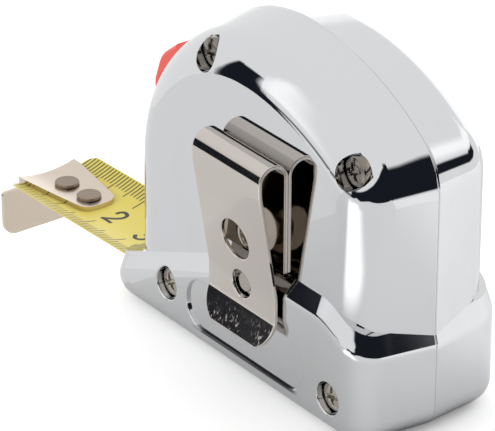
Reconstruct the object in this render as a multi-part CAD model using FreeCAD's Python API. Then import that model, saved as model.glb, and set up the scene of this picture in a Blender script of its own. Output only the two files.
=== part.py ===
import FreeCAD, Part
import math
import os

V = FreeCAD.Vector
# Tape measure, millimetres. Base on z = 0, blade leaves towards -X, belt clip on the -Y side.

# case, upper body
HEIGHT = 65.5
UPPER_WIDTH = 30.0
CREST_X = 1.1
FRONT_RADIUS = 35.3
CREST_RADIUS = 55.0
REAR_X = 38.2
REAR_CORNER = 12.0
DRAFT = math.radians(10.0)
SHOULDER = 8.0
WALL = 2.0
FLOOR = 1.4
SEAM_ROUND = 0.25

# case, foot
FOOT_LENGTH = 77.6
FOOT_WIDTH = 32.8
FOOT_CORNER = 5.8
FOOT_CROWN = math.radians(6.0)
FOOT_EDGE = 4.5
LEDGE_FRONT = 7.2
LEDGE_TOP = 25.9
LEDGE_REAR = 20.6
LEDGE_RISE_X = 6.5
LEDGE_FALL_X = 27.3
LEDGE_BEND = 9.0
LEDGE_DROP = 3.8
LEDGE_INSET = 1.35
LEDGE_ROUND = 4.0

# label recess in the side of the foot
RECESS_FRONT = -12.6
RECESS_REAR = 22.0
RECESS_HEIGHT = 10.0
RECESS_Z = 9.4
RECESS_DEPTH = 0.6
RECESS_EDGE = 0.3

# case screws
SCREW_SHANK = 2.9
SCREW_HEAD = 5.5
SCREW_HEAD_DEPTH = 2.0
HEAD_GAP = 0.3
BORE_EDGE = 0.3
BOSS_WALL = 1.25
BORE_WALL = 1.15
LOWER_FRONT = (-18.8, 9.3)
LOWER_REAR = (29.0, 7.6)
UPPER_FRONT_X = -10.0
UPPER_FRONT_DOWN = 7.4
UPPER_REAR_X = 30.8
UPPER_REAR_DOWN = 14.2
LOWER_SEAT = 13.5
UPPER_SEAT = 11.0
SCREW_REACH = 8.0
PHILLIPS_SPAN = 3.4
PHILLIPS_SLOT = 0.8
PHILLIPS_DEPTH = 1.2

# reel
REEL_X = 5.8
REEL_Z = 29.9
ARBOR = 7.0
ARBOR_FIT = 0.08
ARBOR_DEEP = 1.0
HUB_WALL = 2.0
SOCKET_WALL = 2.5
SOCKET_REACH = 11.0
WASHER = 0.4
DRUM_OUT = 31.6
DRUM_WALL = 1.6
DRUM_WIDTH = 20.0
DRUM_WEB = 1.4
COIL_OUT = 45.6
COIL_GROOVE = 0.25
COIL_TURNS = 7
SPRING_THICK = 0.4
SPRING_TURNS = 7
SPRING_WIDTH = 16.4
LINER = 0.3
LINER_OUT = 41.0
END_PLAY = 0.06

# blade
BLADE_WIDTH = 20.0
BLADE_THICK = 0.16
BLADE_SAG = 2.2
BLADE_GAP = 0.3
BLADE_OUT = 41.6
BLADE_IN = 21.0
BLADE_CORNER = 2.4
BLADE_DROOP = 2.0

# end hook
HOOK_THICK = 0.9
HOOK_DROP = 9.4
HOOK_WIDTH = 21.6
HOOK_CORNER = 2.6
TONGUE_LENGTH = 18.6
TONGUE_FRONT = 13.0
TONGUE_REAR = 7.6
TONGUE_CORNER = 2.2
HOOK_PLAY = 0.5
HOOK_CLEAR = 0.03
HOOK_LIFT = 0.03
RIVET_HEAD = 4.8
RIVET_SHANK = 2.4
RIVET_HEIGHT = 0.6
RIVET_1 = 5.7
RIVET_2 = 13.2

# mouth
MOUTH_SIDE_GAP = 0.9
MOUTH_TOP = 7.6
STRIP_LENGTH = 7.0
STRIP_THICK = 0.4
WIPER_THICK = 1.0
WIPER_SET_BACK = 2.2
WIPER_HEIGHT = 2.4

# lock
LOCK_ARM_DEEP = 3.0
LOCK_ARM_THICK = 1.7
LOCK_ARM_WIDTH = 7.6
LOCK_ARM_FROM = -38.0
LOCK_ARM_TO = 26.0
LOCK_TRAVEL = 4.0
STEM_WIDTH = 5.0
STEM_FROM = 12.0
STEM_TO = 22.0
SLOT_GAP = 0.15
BUTTON_WIDTH = 12.0
BUTTON_FROM = 8.0
BUTTON_TO = 32.0
BUTTON_GAP = 0.45
BUTTON_RISE = 3.9
BUTTON_ROUND = 0.9
TOE_BACK = -25.3
TOE_FRONT = -28.3
TOE_THICK = 1.8
TOE_INSET = 0.6
PAD_GAP = 0.086
PAD_HEIGHT = 1.65
PAD_WIDTH = 2.0

# belt clip
CLIP_THICK = 0.8
CLIP_WIDTH = 19.4
CLIP_TOP = 47.8
CLIP_FOLD = 2.8
CLIP_NIP_Z = 21.3
CLIP_NIP_GAP = 0.55
CLIP_CREASE_Z = 16.5
CLIP_TIP_Z = 11.1
CLIP_FLARE = 2.0
CLIP_TIP_CORNER = 5.5
CLIP_EDGE = 0.2
CLIP_HOLE = 7.8
CLIP_HOLE_LOW = 5.4
CLIP_HOLE_LOW_Z = 20.6
CLIP_SCREW_HEAD = 5.2
CLIP_SCREW_HEIGHT = 1.4
CLIP_SCREW_REACH = 9.0
STUD = 3.6
STUD_RISE = 0.7
STUD_DEEP = 1.6

# locating dowels between the case halves
DOWEL = 2.4
DOWEL_WALL = 1.2
DOWEL_LENGTH = 9.0
DOWEL_SITES = ((32.9, 26.0), (-21.8, 49.2))

# values that follow from the ones above
HALF = UPPER_WIDTH / 2
FOOT_HALF = FOOT_WIDTH / 2
INNER = HALF - WALL
ARC_Z = HEIGHT - FRONT_RADIUS
FRONT_X = -FOOT_LENGTH / 2
BLADE_Z = FLOOR + BLADE_GAP
BLADE_END = FRONT_X - BLADE_OUT
BLADE_BEND = (BLADE_WIDTH ** 2 / 4 + BLADE_SAG ** 2) / (2 * BLADE_SAG)
MOUTH_POINT = V(FRONT_X, 0, BLADE_Z)
COIL_IN = DRUM_OUT
DRUM_IN = DRUM_OUT - 2 * DRUM_WALL
HUB = ARBOR + 2 * HUB_WALL
SOCKET_BOSS = ARBOR + 2 * SOCKET_WALL
SCREW_BORE = SCREW_HEAD + 2 * HEAD_GAP
BOSS = SCREW_SHANK + 2 * BOSS_WALL
BORE_BOSS = SCREW_BORE + 2 * BORE_WALL
DOWEL_BOSS = DOWEL + 2 * DOWEL_WALL
UPPER_FRONT = (UPPER_FRONT_X, HEIGHT - UPPER_FRONT_DOWN)
UPPER_REAR = (UPPER_REAR_X, HEIGHT - UPPER_REAR_DOWN)
MOUTH_WIDTH = BLADE_WIDTH + 2 * MOUTH_SIDE_GAP
LOCK_ARM_OUT = FRONT_RADIUS - LOCK_ARM_DEEP
TOE_WIDTH = BLADE_WIDTH - 2 * TOE_INSET
LOCK_AXIS = V(CREST_X, 0, ARC_Z)


def cylinder(radius, x, z, y0, y1):
    """Round bar along Y between y0 and y1."""
    return Part.makeCylinder(radius, y1 - y0, V(x, y0, z), V(0, 1, 0))


def box(x0, x1, y0, y1, z0, z1):
    return Part.makeBox(x1 - x0, y1 - y0, z1 - z0, V(x0, y0, z0))


def rounded(points, radii, place):
    """Closed outline through 2-D points with rounded corners, placed by place(a, b)."""
    count = len(points)
    marks = []
    for i, radius in enumerate(radii):
        here = V(points[i][0], points[i][1], 0)
        back = V(points[i - 1][0], points[i - 1][1], 0) - here
        ahead = V(points[(i + 1) % count][0], points[(i + 1) % count][1], 0) - here
        back.normalize()
        ahead.normalize()
        if radius <= 0:
            marks.append((here,))
            continue
        half = back.getAngle(ahead) / 2
        bisector = (back + ahead).normalize()
        reach = radius / math.tan(half)
        middle = here + bisector * (radius / math.sin(half) - radius)
        marks.append((here + back * reach, middle, here + ahead * reach))
    edges = []
    for i, mark in enumerate(marks):
        spots = [place(p.x, p.y) for p in mark]
        if len(spots) == 3:
            edges.append(Part.Arc(*spots).toShape())
        start = place(marks[i][-1].x, marks[i][-1].y)
        end = place(marks[(i + 1) % count][0].x, marks[(i + 1) % count][0].y)
        if (end - start).Length > 1e-6:
            edges.append(Part.makeLine(start, end))
    return Part.Wire(edges)


def slab(points, radii, y0, y1):
    """Side-view outline (x, z) extruded from y0 to y1."""
    wire = rounded(points, radii, lambda a, b: V(a, y0, b))
    return Part.Face(wire).extrude(V(0, y1 - y0, 0))


def plate(points, radii, z0, z1):
    """Plan outline (x, y) extruded from z0 to z1."""
    wire = rounded(points, radii, lambda a, b: V(a, b, z0))
    return Part.Face(wire).extrude(V(0, 0, z1 - z0))


def upper_outline(inset, y, low):
    """Side view of the upper body: front arc, crest arc and rear corner, moved inwards."""
    front, crest, corner = FRONT_RADIUS - inset, CREST_RADIUS - inset, REAR_CORNER - inset
    crest_z = HEIGHT - CREST_RADIUS
    corner_x = REAR_X - REAR_CORNER
    span = CREST_RADIUS - REAR_CORNER
    corner_z = crest_z + math.sqrt(span ** 2 - (corner_x - CREST_X) ** 2)
    lean = math.atan2(corner_z - crest_z, corner_x - CREST_X)

    def spot(cx, cz, radius, angle):
        return V(cx + radius * math.cos(angle), y, cz + radius * math.sin(angle))

    a = V(CREST_X - front, y, low)
    b = V(CREST_X - front, y, ARC_Z)
    top = V(CREST_X, y, HEIGHT - inset)
    c = spot(CREST_X, crest_z, crest, lean)
    d = V(REAR_X - inset, y, corner_z)
    e = V(REAR_X - inset, y, low)
    quarter, mid_crest = 0.75 * math.pi, (lean + math.pi / 2) / 2
    edges = [
        Part.makeLine(a, b),
        Part.Arc(b, spot(CREST_X, ARC_Z, front, quarter), top).toShape(),
        Part.Arc(top, spot(CREST_X, crest_z, crest, mid_crest), c).toShape(),
        Part.Arc(c, spot(corner_x, corner_z, corner, lean / 2), d).toShape(),
        Part.makeLine(d, e),
        Part.makeLine(e, a),
    ]
    return Part.Wire(edges)


def upper_half(inset, half, shoulder, low):
    """-Y half of the upper body, drafted from the seam and rounded into a flat side."""
    seam = upper_outline(inset, 0, low)
    side = upper_outline(inset + half * math.tan(DRAFT), -half, low)
    solid = Part.makeLoft([seam, side], True, True)
    rim = []
    for edge in solid.Edges:
        box_of = edge.BoundBox
        if box_of.YMax < -half + 0.01 and box_of.ZMax > low + 0.01:
            rim.append(edge)
    return solid.makeFillet(shoulder, rim)


def foot_half():
    """-Y half of the foot: crowned ends, rounded corners, sloping ledge on top."""
    end = FOOT_LENGTH / 2
    crown = FOOT_HALF * math.tan(FOOT_CROWN)
    outline = [(-end, 0), (-end + crown, -FOOT_HALF), (end - crown, -FOOT_HALF), (end, 0)]
    body = plate(outline, [0, FOOT_CORNER, FOOT_CORNER, 0], 0, LEDGE_TOP + 5)
    base = [e for e in body.Edges if e.BoundBox.ZMax < 0.01 and e.BoundBox.YMin < -0.01]
    body = body.makeFillet(FOOT_EDGE, base)
    far = end + 5
    slope = (LEDGE_TOP - LEDGE_FRONT) / (LEDGE_RISE_X + end)
    fall = (LEDGE_TOP - LEDGE_REAR) / (end - LEDGE_FALL_X)
    line = [
        (-far, -5), (far, -5), (far, LEDGE_REAR - fall * 5),
        (LEDGE_FALL_X, LEDGE_TOP), (LEDGE_RISE_X, LEDGE_TOP), (-far, LEDGE_FRONT - slope * 5),
    ]
    body = body.common(slab(line, [0, 0, 0, LEDGE_BEND, LEDGE_BEND, 0], -20, 0))
    rim = ledge_edges(body, -0.5)
    body = body.makeChamfer(LEDGE_DROP, LEDGE_INSET, rim)
    soft = []
    for edge in body.Edges:
        middle = edge.valueAt((edge.FirstParameter + edge.LastParameter) / 2)
        if middle.y < -0.05 and 0.14 < fold_angle(body, edge) < 0.7:
            soft.append(edge)
    return body.makeFillet(LEDGE_ROUND, soft)


def ledge_edges(body, inboard):
    """Edges of the ledge that run round the outside wall of the foot."""
    rim = []
    for edge in body.Edges:
        spot = edge.valueAt((edge.FirstParameter + edge.LastParameter) / 2)
        on_wall = edge.BoundBox.YMin < inboard and spot.y < -0.01
        if on_wall and edge.BoundBox.ZMin > LEDGE_FRONT - 0.5 and not is_upright(edge):
            rim.append(edge)
    return rim


def fold_angle(shape, edge):
    """Angle between the two faces that meet at an edge, 0 where they are smooth."""
    middle = edge.valueAt((edge.FirstParameter + edge.LastParameter) / 2)
    normals = []
    for face in shape.ancestorsOfType(edge, Part.Face):
        u, v = face.Surface.parameter(middle)
        normals.append(face.normalAt(u, v))
    return normals[0].getAngle(normals[1]) if len(normals) == 2 else 0


def is_upright(edge):
    """True for a straight edge that runs along Z or straight across the case along Y."""
    a, b = edge.Vertexes[0].Point, edge.Vertexes[-1].Point
    along_z = abs(a.x - b.x) < 1e-3 and abs(a.y - b.y) < 1e-3
    across = abs(a.x - b.x) < 1e-3 and abs(a.z - b.z) < 1e-3
    return along_z or across


def mirror(shape):
    return shape.mirror(V(0, 0, 0), V(0, 1, 0))


def sector(radius_in, radius_out, start, end, half):
    """Ring sector about the lock axis; angles in degrees up from the -X direction."""
    ring = cylinder(radius_out, LOCK_AXIS.x, LOCK_AXIS.z, -half, half)
    ring = ring.cut(cylinder(radius_in, LOCK_AXIS.x, LOCK_AXIS.z, -half, half))
    reach = radius_out * 1.5
    steps = 4
    corners = [(LOCK_AXIS.x, LOCK_AXIS.z)]
    for i in range(steps + 1):
        angle = math.radians(start + (end - start) * i / steps)
        corners.append((LOCK_AXIS.x - reach * math.cos(angle), LOCK_AXIS.z + reach * math.sin(angle)))
    return ring.common(slab(corners, [0] * len(corners), -half, half))


def bare_half():
    """Hollow -Y half with its socket boss, screw bosses and dowel boss, before the bores."""
    shell = upper_half(0, HALF, SHOULDER, FOOT_EDGE).fuse(foot_half()).removeSplitter()
    seam = [e for e in shell.Edges if e.BoundBox.YMin > -0.01 and e.BoundBox.ZMax > 0.01]
    shell = shell.makeFillet(SEAM_ROUND, seam)
    cavity = upper_half(WALL, INNER, SHOULDER - WALL, FLOOR)
    posts = [cylinder(SOCKET_BOSS / 2, REEL_X, REEL_Z, -HALF + 0.5, -SOCKET_REACH - WASHER)]
    for x, z in (LOWER_FRONT, LOWER_REAR, UPPER_FRONT, UPPER_REAR):
        posts.append(cylinder(BOSS / 2, x, z, -HALF, 0))
    for x, z in DOWEL_SITES:
        posts.append(cylinder(DOWEL_BOSS / 2, x, z, -HALF, 0))
    inside = posts[0].multiFuse(posts[1:])
    return shell, cavity, inside


def openings():
    """Cuts shared by both halves: mouth, wear strip seat, lock slot, arbor and dowel bores."""
    mouth = MOUTH_WIDTH / 2
    face = CREST_X - FRONT_RADIUS
    cuts = [box(FRONT_X - 1, face + WALL + SHOULDER, -mouth, mouth, FLOOR, MOUTH_TOP),
            box(FRONT_X - 1, face - 0.4, -mouth, mouth, FLOOR, LEDGE_TOP)]
    strip = BLADE_WIDTH / 2
    strip_x = FRONT_X + FOOT_EDGE
    cuts.append(box(strip_x, strip_x + STRIP_LENGTH, -strip, strip, FLOOR - STRIP_THICK, FLOOR + 1))
    slot_from = STEM_FROM - math.degrees(SLOT_GAP / FRONT_RADIUS)
    slot_to = STEM_TO + LOCK_TRAVEL + math.degrees(SLOT_GAP / FRONT_RADIUS)
    cuts.append(sector(LOCK_ARM_OUT - 1, FRONT_RADIUS + 2, slot_from, slot_to,
                       STEM_WIDTH / 2 + SLOT_GAP))
    ends = INNER + ARBOR_DEEP
    cuts.append(cylinder(ARBOR / 2, REEL_X, REEL_Z, -ends, ends))
    for x, z in DOWEL_SITES:
        cuts.append(cylinder(DOWEL / 2, x, z, -DOWEL_LENGTH / 2, DOWEL_LENGTH / 2))
    return cuts


def screw_sites():
    return [(LOWER_FRONT, LOWER_SEAT), (LOWER_REAR, LOWER_SEAT),
            (UPPER_FRONT, UPPER_SEAT), (UPPER_REAR, UPPER_SEAT)]


def label_recess(shell):
    """Shallow oval sunk into the side of the foot, with a rounded rim."""
    low, high = RECESS_Z - RECESS_HEIGHT / 2, RECESS_Z + RECESS_HEIGHT / 2
    corners = [(RECESS_FRONT, low), (RECESS_REAR, low), (RECESS_REAR, high), (RECESS_FRONT, high)]
    ends = [RECESS_HEIGHT / 2 - 0.01] * 4
    floor = -FOOT_HALF + RECESS_DEPTH
    sunk = shell.cut(slab(corners, ends, -FOOT_HALF - 1, floor))
    rim = []
    for edge in sunk.Edges:
        box_of = edge.BoundBox
        inside = box_of.XMin > RECESS_FRONT - 0.1 and box_of.XMax < RECESS_REAR + 0.1
        if inside and box_of.YMax < floor - 0.1 and low - 0.1 < box_of.ZMin and box_of.ZMax < high + 0.1:
            rim.append(edge)
    return sunk.makeFillet(RECESS_EDGE, rim)


def case_half_clip():
    """-Y half: screw heads sink into it, belt clip and label recess on its outside."""
    shell, cavity, inside = bare_half()
    wells = [cylinder(BORE_BOSS / 2, x, z, -HALF, -seat + WALL)
             for (x, z), seat in screw_sites()[2:]]
    shell = label_recess(shell)
    half = shell.cut(cavity).fuse(inside.multiFuse(wells).common(shell))
    cuts = openings()
    for (x, z), seat in screw_sites():
        cuts.append(cylinder(SCREW_SHANK / 2, x, z, -seat, 0))
        cuts.append(cylinder(SCREW_BORE / 2, x, z, -FOOT_HALF - 1, -seat))
    cuts.append(cylinder(STUD / 2, REEL_X, CLIP_HOLE_LOW_Z, -FOOT_HALF - 1, -FOOT_HALF + STUD_DEEP))
    cuts.append(cylinder(SCREW_SHANK / 2, REEL_X, REEL_Z, -HALF - 1, -INNER))
    half = half.cut(cuts[0].multiFuse(cuts[1:]))
    return half.makeFillet(BORE_EDGE, bore_rims(half))


def bore_rims(half):
    """Outer edges of the four screw bores."""
    rims = []
    for (x, z), seat in screw_sites():
        for edge in half.Edges:
            spots = [edge.valueAt(t) for t in (edge.FirstParameter, edge.LastParameter)]
            near = all(abs(math.hypot(p.x - x, p.z - z) - SCREW_BORE / 2) < 0.01 for p in spots)
            if near and edge.BoundBox.YMax < -seat - 0.1 and edge.BoundBox.YMin > -FOOT_HALF - 0.1:
                rims.append(edge)
    return rims


def case_half_plain():
    """+Y half: blind bosses that the case screws bite into."""
    shell, cavity, inside = bare_half()
    half = mirror(shell.cut(cavity).fuse(inside.common(shell)))
    cuts = openings()
    for (x, z), seat in screw_sites():
        cuts.append(cylinder(SCREW_SHANK / 2, x, z, 0, SCREW_REACH))
    return half.cut(cuts[0].multiFuse(cuts[1:]))


def phillips(x, z, y):
    """Cross recess opening towards -Y at height y."""
    span, slot = PHILLIPS_SPAN / 2, PHILLIPS_SLOT / 2
    bars = box(x - span, x + span, y, y + PHILLIPS_DEPTH, z - slot, z + slot)
    return bars.fuse(box(x - slot, x + slot, y, y + PHILLIPS_DEPTH, z - span, z + span))


def screw(x, z, seat, reach, head, height):
    """Screw along Y with a domed head that faces -Y."""
    top = cylinder(head / 2, x, z, seat - height, seat)
    rim = [e for e in top.Edges if e.BoundBox.YMax < seat - height + 0.01]
    top = top.makeFillet(height * 0.45, rim)
    body = top.fuse(cylinder(SCREW_SHANK / 2, x, z, seat, reach))
    return body.cut(phillips(x, z, seat - height - 0.01))


def case_screws(sites):
    return Part.makeCompound([screw(x, z, -seat, SCREW_REACH, SCREW_HEAD, SCREW_HEAD_DEPTH)
                              for (x, z), seat in sites])


def locating_dowels():
    return Part.makeCompound([cylinder(DOWEL / 2, x, z, -DOWEL_LENGTH / 2, DOWEL_LENGTH / 2)
                              for x, z in DOWEL_SITES])


def clip_path():
    """Centre line of the folded sheet as (y, z) corners, from the inner leg to the tip."""
    inner = -HALF - CLIP_THICK / 2
    outer = inner - 2 * CLIP_FOLD
    top = CLIP_TOP - CLIP_THICK / 2
    nip = -FOOT_HALF - CLIP_NIP_GAP - CLIP_THICK / 2
    return [(inner, LEDGE_TOP + 0.05), (inner, top), (outer, top), (outer, top - CLIP_FOLD * 1.7),
            (nip, CLIP_NIP_Z), (nip, CLIP_CREASE_Z), (nip - CLIP_FLARE, CLIP_TIP_Z)]


def ribbon(path, radii, thick):
    """Wire round a centre line thickened to both sides, in the YZ plane at x = 0."""
    sides = []
    for sign in (1, -1):
        side = []
        for i, (y, z) in enumerate(path):
            legs = []
            if i > 0:
                legs.append(V(y - path[i - 1][0], z - path[i - 1][1], 0).normalize())
            if i < len(path) - 1:
                legs.append(V(path[i + 1][0] - y, path[i + 1][1] - z, 0).normalize())
            normals = [V(-leg.y, leg.x, 0) for leg in legs]
            total = normals[0] + normals[-1]
            shift = total * (thick / total.dot(normals[0]) / 2 * sign)
            turn = 0 if len(legs) < 2 else legs[0].x * legs[1].y - legs[0].y * legs[1].x
            bend = radii[i] - math.copysign(thick / 2, turn) * sign if radii[i] > 0 else 0
            side.append(((y + shift.x, z + shift.y), bend))
        sides.append(side)
    loop = sides[0] + sides[1][::-1]
    return rounded([p for p, r in loop], [r for p, r in loop], lambda a, b: V(0, a, b))


def belt_clip():
    """One folded spring-steel sheet: leg on the case, fold on top, leaf down to the flared tip."""
    fold = CLIP_FOLD * 0.98
    wire = ribbon(clip_path(), [0, fold, fold, 14.0, 12.0, 3.0, 0], CLIP_THICK)
    sheet = Part.Face(wire).extrude(V(CLIP_WIDTH, 0, 0))
    sheet.translate(V(REEL_X - CLIP_WIDTH / 2, 0, 0))
    left, right = REEL_X - CLIP_WIDTH / 2, REEL_X + CLIP_WIDTH / 2
    corners = [(left, CLIP_TIP_Z - 0.5), (right, CLIP_TIP_Z - 0.5), (right, HEIGHT), (left, HEIGHT)]
    sheet = sheet.common(slab(corners, [CLIP_TIP_CORNER, CLIP_TIP_CORNER, 0, 0], -30, 0))
    leaf = -HALF - CLIP_THICK - 0.1
    sheet = sheet.cut(cylinder(CLIP_HOLE / 2, REEL_X, REEL_Z, -30, leaf))
    sheet = sheet.cut(cylinder(CLIP_HOLE_LOW / 2, REEL_X, CLIP_HOLE_LOW_Z, -30, leaf))
    rim = [e for e in sheet.Edges if fold_angle(sheet, e) > 0.5 and e.BoundBox.ZMin < CLIP_TOP - 0.1]
    sheet = sheet.makeFillet(CLIP_EDGE, rim)
    return sheet.cut(cylinder(SCREW_SHANK / 2, REEL_X, REEL_Z, -30, 0))


def clip_stud():
    """Plain rivet in the foot that shows through the lower hole of the leaf."""
    head = cylinder(STUD / 2, REEL_X, CLIP_HOLE_LOW_Z, -FOOT_HALF - STUD_RISE, -FOOT_HALF + STUD_DEEP)
    rim = [e for e in head.Edges if e.BoundBox.YMax < -FOOT_HALF - STUD_RISE + 0.01]
    return head.makeFillet(0.3, rim)


def arbor_pin():
    """Fixed centre post; the clip screw threads into its -Y end."""
    ends = INNER + ARBOR_DEEP
    pin = cylinder(ARBOR / 2, REEL_X, REEL_Z, -ends, ends)
    return pin.cut(cylinder(SCREW_SHANK / 2, REEL_X, REEL_Z, -ends, -HALF + CLIP_SCREW_REACH))


def ring(outer, inner, y0, y1):
    tube = cylinder(outer / 2, REEL_X, REEL_Z, y0, y1)
    return tube.cut(cylinder(inner / 2, REEL_X, REEL_Z, y0, y1))


def both_sides(shape):
    return Part.makeCompound([shape, mirror(shape)])


def reel_drum():
    """Plastic drum with a web and hub at its +Y end."""
    half = DRUM_WIDTH / 2
    bore = ARBOR + ARBOR_FIT
    drum = ring(DRUM_OUT, DRUM_IN, -half, half)
    drum = drum.fuse(ring(DRUM_OUT, bore, half - DRUM_WEB, half))
    return drum.fuse(ring(HUB, bore, half - DRUM_WEB, SOCKET_REACH - END_PLAY))


def drum_cover():
    """Disc that closes the -Y end of the drum over the spring."""
    half = DRUM_WIDTH / 2
    bore = ARBOR + ARBOR_FIT
    disc = ring(DRUM_IN, bore, -half, -half + DRUM_WEB)
    return disc.fuse(ring(HUB, bore, -SOCKET_REACH + END_PLAY, -half + DRUM_WEB))


def power_spring():
    """Spiral ribbon of half turns, wound from the arbor out to the wall of the drum."""
    start = ARBOR / 2 + 0.5
    halves = 2 * SPRING_TURNS
    step = (DRUM_IN / 2 - SPRING_THICK - start) / halves
    sides = []
    for extra in (0.0, SPRING_THICK):
        side = []
        for i in range(halves):
            near, far = start + extra + step * i, start + extra + step * (i + 1)
            way = 1 if i % 2 == 0 else -1
            middle, radius = REEL_X + way * (near - far) / 2, (near + far) / 2
            spots = [V(middle + way * radius * c, -SPRING_WIDTH / 2, REEL_Z + way * radius * s)
                     for c, s in ((1, 0), (0, 1), (-1, 0))]
            side.append((Part.Arc(*spots).toShape(), spots))
        sides.append(side)
    inner, outer = sides
    edges = [edge for edge, spots in inner] + [edge for edge, spots in outer]
    edges.append(Part.makeLine(inner[0][1][0], outer[0][1][0]))
    edges.append(Part.makeLine(inner[-1][1][2], outer[-1][1][2]))
    wire = Part.Wire(Part.sortEdges(edges)[0])
    return Part.Face(wire).extrude(V(0, SPRING_WIDTH, 0))


def blade_coil():
    """Wound part of the blade, with shallow grooves on both sides between the layers."""
    half = BLADE_WIDTH / 2
    coil = ring(COIL_OUT, COIL_IN, -half, half)
    pitch = (COIL_OUT - COIL_IN) / COIL_TURNS
    for i in range(1, COIL_TURNS):
        middle = COIL_IN + pitch * i
        groove = ring(middle + COIL_GROOVE, middle - COIL_GROOVE, -half, -half + COIL_GROOVE)
        coil = coil.cut(groove).cut(mirror(groove))
    return coil


def side_liners():
    """Thin slippery discs that keep the coil off the case walls."""
    return both_sides(ring(LINER_OUT, SOCKET_BOSS, -INNER, -INNER + LINER))


def arbor_washers():
    return both_sides(ring(HUB, ARBOR, -SOCKET_REACH - WASHER, -SOCKET_REACH))


def cupped(length, width, gap, thick, x0):
    """Curved strip along X: hollow side up, its lower face gap above the blade's lower face."""
    centre = BLADE_Z + BLADE_BEND
    reach = BLADE_BEND + 5
    outer, inner = BLADE_BEND - gap, BLADE_BEND - gap - thick
    pipe = Part.makeCylinder(outer, length, V(x0, 0, centre), V(1, 0, 0))
    pipe = pipe.cut(Part.makeCylinder(inner, length, V(x0, 0, centre), V(1, 0, 0)))
    return pipe.common(box(x0, x0 + length, -width / 2, width / 2, centre - reach, centre - 1))


def droop(shape):
    """Tip the straight blade group down a little about the mouth."""
    shape = shape.copy()
    shape.rotate(MOUTH_POINT, V(0, 1, 0), -BLADE_DROOP)
    return shape


def blade():
    """Straight part of the cupped steel tape, from behind the mouth to the end hook."""
    strip = cupped(BLADE_OUT + BLADE_IN, BLADE_WIDTH, 0, BLADE_THICK, BLADE_END)
    half = BLADE_WIDTH / 2
    back = BLADE_END + BLADE_OUT + BLADE_IN
    corners = [(BLADE_END, -half), (back, -half), (back, half), (BLADE_END, half)]
    strip = strip.common(plate(corners, [BLADE_CORNER, 0, 0, BLADE_CORNER], 0, 20))
    for offset in (RIVET_1, RIVET_2):
        strip = strip.cut(upright(RIVET_SHANK, BLADE_END + offset, BLADE_Z - 1, BLADE_Z + 3))
    return droop(strip)


def upright(diameter, x, z0, z1):
    return Part.makeCylinder(diameter / 2, z1 - z0, V(x, 0, z0), V(0, 0, 1))


def hook_tongue():
    """Tapering tongue of the hook that lies in the hollow of the blade."""
    front, rear = TONGUE_FRONT / 2, TONGUE_REAR / 2
    x0 = BLADE_END - HOOK_PLAY - HOOK_CLEAR - HOOK_THICK
    gap = BLADE_THICK + HOOK_LIFT
    tongue = cupped(TONGUE_LENGTH + HOOK_THICK, TONGUE_FRONT + 2, gap, HOOK_THICK, x0)
    end = x0 + TONGUE_LENGTH
    corners = [(x0, -front), (x0 + 2, -front), (end, -rear), (end, rear), (x0 + 2, front), (x0, front)]
    tongue = tongue.common(plate(corners, [0, 3, TONGUE_CORNER, TONGUE_CORNER, 3, 0], 0, 20))
    slots = []
    for offset in (RIVET_1, RIVET_2):
        for shift in (-HOOK_PLAY, HOOK_PLAY):
            slots.append(upright(RIVET_SHANK + 0.1, BLADE_END + offset + shift, 0, 9))
        x, r = BLADE_END + offset, RIVET_SHANK / 2 + 0.05
        slots.append(box(x - HOOK_PLAY, x + HOOK_PLAY, -r, r, 0, 9))
    return tongue.cut(slots[0].multiFuse(slots[1:]))


def end_hook():
    """Bent steel hook: tongue on the blade, plate hanging in front of it."""
    x0 = BLADE_END - HOOK_PLAY - HOOK_CLEAR - HOOK_THICK
    top = BLADE_Z - 0.1
    half = HOOK_WIDTH / 2
    low = BLADE_Z - HOOK_DROP
    wire = rounded([(-half, low), (half, low), (half, top), (-half, top)],
                   [HOOK_CORNER, HOOK_CORNER, 0.8, 0.8], lambda a, b: V(x0, a, b))
    hang = Part.Face(wire).extrude(V(HOOK_THICK, 0, 0))
    neck = cupped(HOOK_THICK, TONGUE_FRONT, 0, BLADE_THICK + HOOK_LIFT + HOOK_THICK, x0)
    neck = neck.fuse(box(x0, x0 + HOOK_THICK, -TONGUE_FRONT / 2, TONGUE_FRONT / 2,
                         BLADE_Z - 1, BLADE_Z + 1.0))
    hook = hang.fuse(neck).fuse(hook_tongue()).removeSplitter()
    return droop(hook)


def hook_rivets():
    """Flat-headed rivets through the blade; the hook slides a little between their heads."""
    seat = BLADE_Z + BLADE_THICK + HOOK_LIFT + HOOK_THICK
    lift = (RIVET_HEAD / 2) ** 2 / (2 * BLADE_BEND) + 0.04
    rivets = []
    for offset in (RIVET_1, RIVET_2):
        x = BLADE_END + offset
        head = upright(RIVET_HEAD, x, seat + lift, seat + lift + RIVET_HEIGHT)
        rim = [e for e in head.Edges if e.BoundBox.ZMin > seat + lift + RIVET_HEIGHT - 0.01]
        head = head.makeFillet(0.25, rim)
        rivets.append(head.fuse(upright(RIVET_SHANK, x, BLADE_Z, seat + lift)))
    return droop(Part.makeCompound(rivets))


def wear_strip():
    """Hard strip let into the lip under the blade."""
    x = FRONT_X + FOOT_EDGE
    half = BLADE_WIDTH / 2
    return box(x, x + STRIP_LENGTH, -half, half, FLOOR - STRIP_THICK, FLOOR)


def mouth_wiper():
    """Felt bar under the top edge of the mouth that keeps dust off the blade."""
    x = CREST_X - FRONT_RADIUS + WIPER_SET_BACK
    half = BLADE_WIDTH / 2
    return box(x, x + WIPER_THICK, -half, half, MOUTH_TOP - WIPER_HEIGHT, MOUTH_TOP)


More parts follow.
